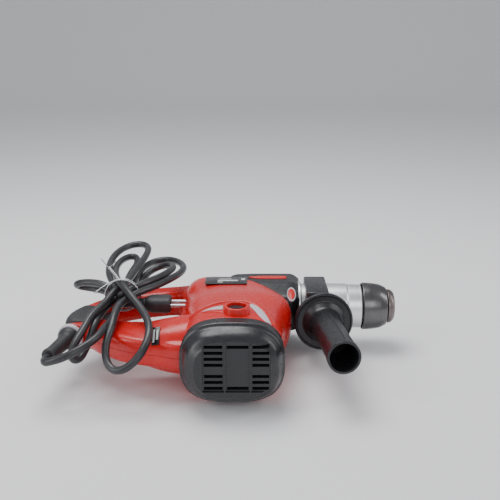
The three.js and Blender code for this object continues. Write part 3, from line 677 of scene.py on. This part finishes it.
def ribbon(name, upper, lower, lift, material, sections=HOUSING, depth=2.5, count=40):
    """A strip that follows the housing's surface between two edges drawn in plan."""
    t = np.linspace(0, 1, count)
    edges = []
    for edge in (upper, lower):
        line = respaced(along([(x, y, 0) for x, y in edge], 1.0), 1)
        places = np.linspace(0, 1, len(line))
        edges.append(np.stack([np.interp(t, places, line[:, i]) for i in range(2)], axis=1))
    shares = np.array([0, 0.04, 0.12, 0.3, 0.5, 0.7, 0.88, 0.96, 1])
    rises = np.array([-0.5, 0.55, 0.9, 1, 1, 1, 0.9, 0.55, -0.5])
    rings = []
    for p, q in zip(*edges):
        top = p[None] * (1 - shares[:, None]) + q[None] * shares[:, None]
        z = height_over(sections, top[:, 0], top[:, 1])
        over = np.column_stack([top, z + lift * rises])
        under = np.column_stack([top, z - depth])[::-1]
        rings.append(np.vstack([over, under]))
    piece = skin(name, rings, material)
    edge_split(piece, 50)
    return piece


def make_housing(looks):
    housing = lofted("housing_skin", HOUSING, looks["red"], rows=120, count=200, lip=0.6)
    holes = [rod_cutter((BOSS[0] + 1, BOSS[1] + 1), 9.9, 30, 60), rod_cutter(BOSS, 9.9, -60, -30)]
    carve(housing, holes)
    # Room for the barrel's works inside the housing.
    works = [(0.01, -45), (23, -45), (23, 70), (0.01, 70)]
    carve(housing, [turned("cutter", works, 0, (0, 0, 0), None, 48)])
    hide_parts("motor_housing")
    boss = turned(
        "brush_boss",
        fillet(
            [(10.2, 30), (14.6, 30), (13.9, 47), (13.4, 52.6), (10.2, 52.6), (9.8, 50)],
            [0, 0, 2, 1.2, 0.8, 0],
        ),
        2, (BOSS[0] + 1, BOSS[1] + 1, 0), looks["red"],
    )
    lower = turned(
        "brush_boss_left",
        fillet([(9.9, -38), (14, -38), (14, -50), (9.9, -50)], [0, 0, 1.2, 0.8]), 2, (*BOSS, 0), looks["red"],
    )
    band_line = np.array([
        (-52, -123), (-33, -116.5), (-15, -109.5), (1, -106.5), (15, -108.5), (27, -117), (35.5, -129),
        (41, -142), (45, -153.5),
    ], float)
    run = np.gradient(band_line, axis=0)
    side = np.stack([-run[:, 1], run[:, 0]], axis=1) / np.linalg.norm(run, axis=1)[:, None]
    band = ribbon("arch_band", band_line + side * 5, band_line - side * 5, 1.8, looks["red"])
    left = ribbon(
        "light_insert_left",
        [(-34, -130.5), (-24, -126), (-12, -122.5)],
        [(-34, -131), (-24, -131.5), (-12, -133)],
        1.0, looks["light"],
    )
    right = ribbon(
        "light_insert_right",
        [(17, -115), (25, -119.5), (31.5, -130), (36.5, -143), (40, -155)],
        [(17, -124), (21.5, -134), (26.5, -145), (30, -151), (33, -155)],
        1.0, looks["light"],
    )
    lens = ribbon(
        "red_lens",
        [(-34, -132), (-24, -132.5), (-11, -134)],
        [(-34, -132.6), (-24, -137), (-11, -143)],
        0.9, looks["red"],
    )
    return [housing, boss, lower, band, left, right, lens]


def rod_cutter(centre, radius, low, high):
    profile = [(0.01, low), (radius, low), (radius, high), (0.01, high)]
    return turned("cutter", profile, 2, (*centre, 0), None, 48)


def box_cloud(boxes):
    """One mesh of separate boxes, used to cut pockets."""
    points, faces = [], []
    for low, high in boxes:
        base = len(points)
        points += box_corners(low, high)
        faces += [tuple(base + i for i in face) for face in BOX_FACES]
    return mesh_object("cutter", metres(points), faces, None, False)


def make_end_cover(looks):
    """The motor end cover: a domed cap with ribbed vent panels in its end."""
    cover = lofted("end_cover_skin", END_COVER, looks["dark"], rows=90, count=220, lip=-1.2)
    panels = [
        ((-31.5, -210, -23), (-9.6, MOTOR_END_Y + 1.3, 33)),
        ((-8.0, -210, -23), (16.6, MOTOR_END_Y + 1.3, 35)),
        ((18.2, -210, -23), (37.8, MOTOR_END_Y + 1.3, 33)),
    ]
    carve(cover, [box_cloud(panels)])
    slots = [
        ((x - half, -212, z - 1.7), (x + half, MOTOR_END_Y + 10, z + 1.7))
        for x, half, rows in AIR_SLOTS
        for z in rows
    ]
    carve(cover, [box_cloud(slots)])
    edge_split(cover, 40)
    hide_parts("end_cover")
    return [cover]


def corner_ring(corners, radii, count):
    """A closed outline with rounded corners, as evenly spaced points."""
    line = fillet(corners, radii, 8)
    line = np.array(line + line[:1])
    run = np.concatenate([[0], np.cumsum(np.linalg.norm(np.diff(line, axis=0), axis=1))])
    places = np.linspace(0, run[-1], count, endpoint=False)
    return np.stack([np.interp(places, run, line[:, i]) for i in range(2)], axis=1)


def make_gear_cover(looks):
    """The dark cover over the gear case, with its stripe and its oval badge."""
    outline = corner_ring(
        [(40, 30), (2, 30), (-30, 21), (-33, 0), (-30, -21), (2, -30), (40, -30)],
        [7, 1.5, 7, 3, 7, 1.5, 7], 160,
    )
    rings = []
    for x, across, through in [
        (-7, 0.93, 0.9), (-4, 0.95, 0.95), (1, 0.98, 0.985), (20, 1, 1), (60, 1, 1), (66, 1, 1),
        (69, 0.985, 0.985), (73, 0.94, 0.93), (76.5, 0.88, 0.86), (77.2, 0.86, 0.84),
    ]:
        ring = np.zeros((len(outline), 3))
        ring[:, 0] = x
        ring[:, 1] = 4 + (outline[:, 0] - 4) * across
        ring[:, 2] = outline[:, 1] * through
        rings.append(ring)
    cover = skin("gear_cover_skin", rings, looks["dark"])
    edge_split(cover, 24)
    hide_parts("gear_cover")
    stripe = skin("stripe", [
        np.array([(x, 19 - w, 29.6), (x, 19 - w, 30.6), (x, 19 - w * 0.8, 31), (x, 19 + w * 0.8, 31),
                  (x, 19 + w, 30.6), (x, 19 + w, 29.6)])
        for x, w in [
            (16, 1.6), (22, 3.2), (30, 4.6), (44, 5.0), (57, 4.8), (60, 4.4), (61.5, 3.0), (62, 1.2),
        ]
    ], looks["red"])
    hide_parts("side_stripe")
    tilt = math.atan2(9, 32)
    badge = turned(
        "badge", fillet([(0.01, 0), (5.0, 0), (5.0, 1.6), (0.01, 2.2)], [0, 0, 0.7, 0]),
        2, (0, 0, 0), looks["red"], 48,
    )
    rim = turned(
        "badge_rim", fillet([(5.0, 0), (6.3, 0), (6.1, 1.4), (5.0, 1.4)], [0, 0, 0.5, 0.4]),
        2, (0, 0, 0), looks["light"], 48,
    )
    for piece in (badge, rim):
        place(piece, lambda p: turn(p * [0.84, 2.25, 1], 0, tilt) + [66.3, -22.0, 22.2])
    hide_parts("front_badge")
    return [cover, stripe, badge, rim]


def turn(points, axis, angle):
    """Turns points about one of the frame's axes."""
    a, b = [(1, 2), (2, 0), (0, 1)][axis]
    out = np.array(points, float)
    out[:, a] = points[:, a] * math.cos(angle) - points[:, b] * math.sin(angle)
    out[:, b] = points[:, a] * math.sin(angle) + points[:, b] * math.cos(angle)
    return out


def place(piece, move):
    """Moves a piece's own points, given in millimetres about the hub."""
    mesh = piece.data
    points = np.empty(len(mesh.vertices) * 3)
    mesh.vertices.foreach_get("co", points)
    moved = metres(move((points.reshape(-1, 3) - HUB) / MM))
    mesh.vertices.foreach_set("co", moved.reshape(-1))
    mesh.update()


def on_grip(points):
    return turn(turn(points, 2, GRIP_LEAN) + [SIDE_HANDLE_X, 0, 0], 0, SIDE_HANDLE_TURN)


def on_guard(points):
    return turn(points, 2, GUARD_LEAN) + GUARD_FOOT


def make_side_handle(looks):
    profile = fillet(
        [(4.35, -56.5), (31, -56.5), (34, -59), (34, -63.6), (31.8, -65), (30.6, -63.8), (24.5, -64.4),
         (22.4, -67), (18.4, -72), (17.2, -86), (16.7, -125), (17.0, -168), (17.0, -174), (17.9, -174.6),
         (17.9, -182.8), (15.2, -182.8), (14.3, -110), (4.35, -108)],
        [0, 1, 1.2, 0.8, 0.7, 0.7, 1.2, 1.5, 5, 8, 10, 2, 0.4, 0.3, 0.9, 0.8, 0, 0], 6,
    )
    grip = turned("side_grip_skin", profile, 1, (0, 0, 0), looks["side_grip"], 128)
    place(grip, on_grip)
    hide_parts("side_handle_grip")
    seam = bevelled_box("side_grip_seam", (-0.35, -172, 16.2), (0.35, -84, 17.5), 0.1, looks["carbon"], 1)
    place(seam, lambda p: on_grip(turn(p, 1, math.radians(8))))
    hollow = turned(
        "side_grip_bore", [(0.01, -128), (14.6, -128), (14.6, -127), (0.01, -127)],
        1, (0, 0, 0), looks["carbon"],
    )
    place(hollow, on_grip)
    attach(seam, "side_grip")
    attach(hollow, "side_grip")
    clamp = bevelled_box("clamp_skin", (82.6, -55.2, -32.4), (108.6, 17, 33), 2.2, looks["dark"])
    back = bevelled_box("clamp_back", (84, 10, -20), (108, 33, 20), 3, looks["dark"])
    for piece in (clamp, back):
        place(piece, lambda p: turn(p, 0, SIDE_HANDLE_TURN))
        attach(piece, "side_clamp")
    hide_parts("side_handle_clamp")
    return grip


def make_front(looks):
    barrel = turned(
        "barrel_skin",
        fillet([(17, 98), (22.9, 75), (30.4, 75), (30.4, 77.6), (27.5, 78.6), (27.5, 133.2), (26.4, 134.6),
                (26.2, 150.6), (25.2, 151.8), (17, 151.8)], [0, 0, 0.5, 0.5, 0.4, 0.8, 0.6, 0.5, 0.4, 0]),
        0, (0, 0, 0), looks["silver"], 160,
    )
    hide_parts("front_barrel")
    sleeve = turned(
        "sleeve_skin",
        fillet([(27.3, 152.2), (28.5, 153.0), (28.2, 164.5), (26.2, 175), (23.0, 181.2), (22, 182),
                (13.5, 182), (13.5, 171.5), (23, 171.5), (23, 160.5), (27.0, 160.5)],
               [0.4, 0.8, 5, 6, 1.2, 0.5, 0, 0, 0, 0, 0], 6),
        0, (0, 0, 0), looks["sleeve"], 160,
    )
    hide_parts("locking_sleeve")
    nose = turned(
        "nose_skin",
        fillet([(5.8, 191.6), (5.8, 178), (19.6, 182.7), (20.6, 183.4), (20.2, 187), (17.5, 190.8),
                (13, 192)],
               [0.5, 0, 0.4, 0.8, 2, 2.5, 1], 6),
        0, (0, 0, 0), looks["nose"], 128,
    )
    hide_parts("nose_ring")
    return [barrel, sleeve, nose]


def handle_form():
    """The whole rear handle: a rounded loop blended into the thick root of its lower arm."""
    curve = bpy.data.curves.new("handle", "CURVE")
    curve.dimensions = "2D"
    curve.fill_mode = "BOTH"
    curve.extrude = 8.0 * MM
    curve.bevel_depth = 8.0 * MM
    curve.bevel_resolution = 5
    curve.offset = -8.0 * MM
    for outline in (HANDLE_OUTLINE, FINGER_GAP):
        loop = closed_along(outline, 3.0) * MM
        spline = curve.splines.new("POLY")
        spline.points.add(len(loop) - 1)
        for target, p in zip(spline.points, loop):
            target.co = (*p, 1)
        spline.use_cyclic_u = True
    source = bpy.data.objects.new("handle", curve)
    bpy.context.collection.objects.link(source)
    bpy.context.view_layer.update()
    mesh = bpy.data.meshes.new_from_object(source.evaluated_get(bpy.context.evaluated_depsgraph_get()))
    bpy.data.objects.remove(source)
    mesh.transform(Matrix.Translation(Vector(HUB)))
    loop_form = bpy.data.objects.new("handle", mesh)
    bpy.context.collection.objects.link(loop_form)
    angles = even_angles(20, 20, 2.4, 60)
    rings = []
    for x, y, half_y, half_z in smooth_rows(FLARE, 24):
        u, v = rounded(half_y, half_z, 2.4, angles)
        rings.append(np.stack([np.full(60, x), y + u, v], axis=1))
    root = skin("handle_root", rings, None)
    gap = closed_along(FINGER_GAP, 3.0)
    wall = [np.column_stack([gap[:, :2], np.full(len(gap), z)]) for z in (-60, 60)]
    carve(root, [skin("cutter", wall, None)])
    union = loop_form.modifiers.new("join", "BOOLEAN")
    union.operation = "UNION"
    union.solver = "EXACT"
    union.object = root
    bpy.context.view_layer.update()
    apply_modifiers(loop_form)
    bpy.data.objects.remove(root)
    remesh = loop_form.modifiers.new("remesh", "REMESH")
    remesh.mode = "VOXEL"
    remesh.voxel_size = 1.5 * MM
    remesh.use_smooth_shade = True
    relax = loop_form.modifiers.new("relax", "SMOOTH")
    relax.factor = 0.5
    relax.iterations = 7
    bpy.context.view_layer.update()
    apply_modifiers(loop_form)
    return loop_form


def copy_of(piece, name, material):
    other = bpy.data.objects.new(name, piece.data.copy())
    bpy.context.collection.objects.link(other)
    other.data.materials.clear()
    other.data.materials.append(material)
    return other


def halved(piece, sign):
    """Keeps the half of a piece on one side of the joint plane between the shells, and closes it."""
    work = bmesh.new()
    work.from_mesh(piece.data)
    geometry = list(work.verts) + list(work.edges) + list(work.faces)
    plane = Vector((0, 0, HUB[2] + sign * 0.2 * MM))
    cut = bmesh.ops.bisect_plane(
        work, geom=geometry, plane_co=plane, plane_no=(0, 0, sign), clear_inner=True, dist=1e-7
    )
    rim = [item for item in cut["geom_cut"] if isinstance(item, bmesh.types.BMEdge)]
    bmesh.ops.triangle_fill(work, edges=rim, use_beauty=True)
    bmesh.ops.recalc_face_normals(work, faces=work.faces)
    work.to_mesh(piece.data)
    work.free()
    edge_split(piece, 50)


def surface_under(piece, x, y):
    """The highest point of a piece over a place in plan, and which way the surface faces there."""
    start = Vector(metres((x, y, 90)))
    spot, facing = piece.ray_cast(start, Vector((0, 0, -1)))[1:3]
    return (np.array(spot) - HUB) / MM, np.array(facing)


def make_rear_handle(looks):
    form = handle_form()
    pieces = []
    for side, sign in (("right", 1), ("left", -1)):
        shell = copy_of(form, "handle_" + side, looks["red"])
        # Room for the connecting rod at the end of its stroke.
        carve(shell, [box_cloud([((-60, -9, -22), (-40, 9, 22))])])
        halved(shell, sign)
        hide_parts("handle_shell_" + side)
        pieces.append(shell)
    rubber = copy_of(form, "grip_rubber_skin", looks["rubber"])
    swell = rubber.modifiers.new("swell", "DISPLACE")
    swell.strength = 0.9 * MM
    swell.mid_level = 0
    keep = rubber.modifiers.new("keep", "BOOLEAN")
    keep.operation = "INTERSECT"
    keep.solver = "EXACT"
    room = bevelled_box("room", (-215, -91, -30), (-150, -44, 30), 1, None)
    place(room, lambda p: turn(p + [170, 70, 0], 2, math.radians(-14)) - [170, 70, 0])
    keep.object = room
    bpy.context.view_layer.update()
    apply_modifiers(rubber)
    bpy.data.objects.remove(room)
    edge_split(rubber, 50)
    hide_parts("grip_rubber")
    bpy.data.objects.remove(form)
    collar = turned(
        "collar_skin",
        fillet([(9.4, 2), (14.8, 2), (15.2, -1), (14.2, -3), (9.4, -3)], [0, 1, 1, 0.8, 0.6]),
        1, (0, 0, 0), looks["light"],
    )
    guard = turned(
        "guard_skin",
        fillet([(0.01, 0), (9, 0), (9, -3.2), (13, -3.4), (12.2, -8), (8.8, -13), (7.8, -30), (7.2, -50),
                (8.0, -51), (8.0, -55), (6.8, -56), (0.01, -56)],
               [0, 0.3, 0.3, 0.8, 2.5, 3, 5, 1, 0.6, 0.8, 0.5, 0]),
        1, (0, 0, 0), looks["rubber"],
    )
    for piece, node in ((collar, "cord_collar"), (guard, "cord_guard")):
        place(piece, on_guard)
        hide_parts(node)
    plate = bevelled_box("rating_plate", (-4.5, -11, -0.6), (4.5, 11, 0.5), 0.3, looks["label"])
    bar = bevelled_box("rating_plate_bars", (-3, -8, 0.4), (-1, 8, 0.75), 0.1, looks["print"])
    bar_two = bevelled_box("rating_plate_bar", (0.6, -5, 0.4), (3, 7, 0.75), 0.1, looks["print"])
    spot, facing = surface_under(pieces[0], -83, -142)
    lean, roll = math.asin(facing[0]), math.atan2(-facing[1], facing[2])
    for piece in (plate, bar, bar_two):
        place(piece, lambda p: turn(turn(p, 1, lean), 0, roll) + spot)
    return [*pieces, rubber, collar, guard, plate, bar, bar_two], guard


def make_plug(looks):
    """The mains plug: a rounded body with a ribbed neck and two round pins."""
    body_rings = []
    angles = even_angles(12, 9, 3.0, 72)
    sections = [
        (-103, 6.6, 6.4), (-100, 9.5, 8.0), (-95, 12.4, 9.0), (-86, 12.9, 9.1), (-77, 13.0, 9.0),
        (-74.5, 12.2, 8.3), (-73.6, 10.5, 7.0),
    ]
    for x, half_y, half_z in smooth_rows(sections, 40):
        u, v = rounded(half_y, half_z, 3.0, angles)
        body_rings.append(np.stack([np.full(72, x), PLUG_Y + u, PLUG_Z + v], axis=1))
    body = skin("plug_body", body_rings, looks["rubber"])
    profile = [(0.01, -117), (5.0, -117)]
    for k in range(5):
        x, root, rib = -116 + 2.8 * k, 5.2 + 0.25 * k, 6.0 + 0.25 * k
        profile += [(root, x), (rib, x + 0.4), (rib, x + 1.5), (root, x + 1.9)]
    profile += [(6.4, -101.5), (0.01, -101.5)]
    neck = turned("plug_neck", profile, 0, (0, PLUG_Y, PLUG_Z), looks["rubber"], 64)
    pin = fillet([(0.01, -76), (2, -76), (2, -57), (0.01, -55.6)], [0, 0, 1, 0])
    pins = [
        turned("plug_pin_" + side, pin, 0, (0, PLUG_Y + y, PLUG_Z), looks["steel"], 40)
        for side, y in (("far", 7), ("near", -7))
    ]
    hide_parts("plug")
    return [body, neck, *pins]


def make_tie(looks, line):
    """The wire twist: a turn round the strands and a twisted tail with two loose ends."""
    bundle = line[np.linalg.norm(line[:, :2] - TIE_CENTRE[:2], axis=1) < 17]
    low, high = bundle.min(axis=0) - 5.2, bundle.max(axis=0) + 5.2
    centre, half = (low + high) / 2, (high - low) / 2
    half[0] = min(half[0], 20)
    turns = []
    for a in np.linspace(0, 4 * math.pi, 90):
        turns.append(centre + [half[0] * math.cos(a), 2.0 * a / math.pi - 4, half[2] * math.sin(a)])
    band = wire("tie_band", turns, 0.75, looks["steel"])
    start = centre + [-4, -2, half[2] + 0.5]
    pieces = [band]
    for k, loose in enumerate(((-12, 26, 2), (4, 22, 1))):
        tail = []
        for t in np.linspace(0, 1, 70):
            p = start + np.array([-16, 34, 3]) * t
            a = 34 * t + k * math.pi
            tail.append(p + [0.95 * math.cos(a), 0.5 * math.cos(a), 0.95 * math.sin(a)])
        tip = tail[-1]
        tail = along([*tail, tip + np.array(loose) * 0.35, tip + np.array(loose)], 0.8)
        pieces.append(wire("tie_tail_" + "ab"[k], tail, 0.6, looks["steel"]))
    loose_end = along([start, start + [-12, -14, -2], start + [-24, -26, -8]], 2)
    pieces.append(wire("tie_loose", loose_end, 0.6, looks["steel"]))
    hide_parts("twist_tie")
    return pieces


def make_label(looks):
    """The name plate on the housing, blank but for plain bars."""
    plate = bevelled_box("name_plate_skin", (-25, -18, -0.5), (25, 18, 0.5), 0.4, looks["label"])
    bars = [
        bevelled_box("name_plate_bar_" + name, low, high, 0.1, looks["print"], 1)
        for name, low, high in (
            ("wide", (-10, -5, 0.45), (14, 1, 0.7)),
            ("upper", (-8, 5, 0.45), (6, 7, 0.7)),
            ("lower", (-10, -12, 0.45), (-4, -8.5, 0.7)),
            ("end", (18, 1, 0.45), (22.5, 9, 0.7)),
        )
    ]
    for piece in (plate, *bars):
        place(piece, lambda p: turn(p, 0, -0.1) + [-11.5, -5.5, 34.5])
    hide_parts("name_plate")
    return [plate, *bars]


SLOT_LOOKS = {
    "red_plastic": "red", "dark_plastic": "dark", "handle_rubber": "rubber", "cord_rubber": "cord",
    "nose_rubber": "nose", "light_insert": "light", "cast_aluminium": "cast", "silver_aluminium": "silver",
    "steel": "steel", "dark_steel": "dark_steel", "copper": "copper", "brass": "brass", "carbon": "carbon",
    "label": "label",
}


def dress_frame(looks):
    """Gives every piece kept from the CAD frame the procedural finish of its material slot."""
    for entry in frame["record"]["subparts"]:
        node = frame["nodes"].get(entry["node"])
        if node is None:
            continue
        node.data.materials.clear()
        node.data.materials.append(looks[SLOT_LOOKS[entry["material_slot"]]])


def main():
    make_camera()
    make_stage()
    looks = make_materials()
    dress_frame(looks)
    cord, cord_length, line = make_cord(looks)
    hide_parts("cord", "cord_hank")
    handle, guard = make_rear_handle(looks)
    plug = make_plug(looks)
    tie = make_tie(looks, line)
    grip = make_side_handle(looks)
    barrel, sleeve, nose = make_front(looks)
    on_tool = [*make_housing(looks), *make_end_cover(looks), *make_gear_cover(looks), *make_label(looks)]
    for piece in [*on_tool, *handle, *plug, *tie, cord, barrel]:
        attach(piece, "tool_body")
    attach(grip, "side_grip")
    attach(sleeve, "sleeve")
    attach(nose, "spindle_body")


main()
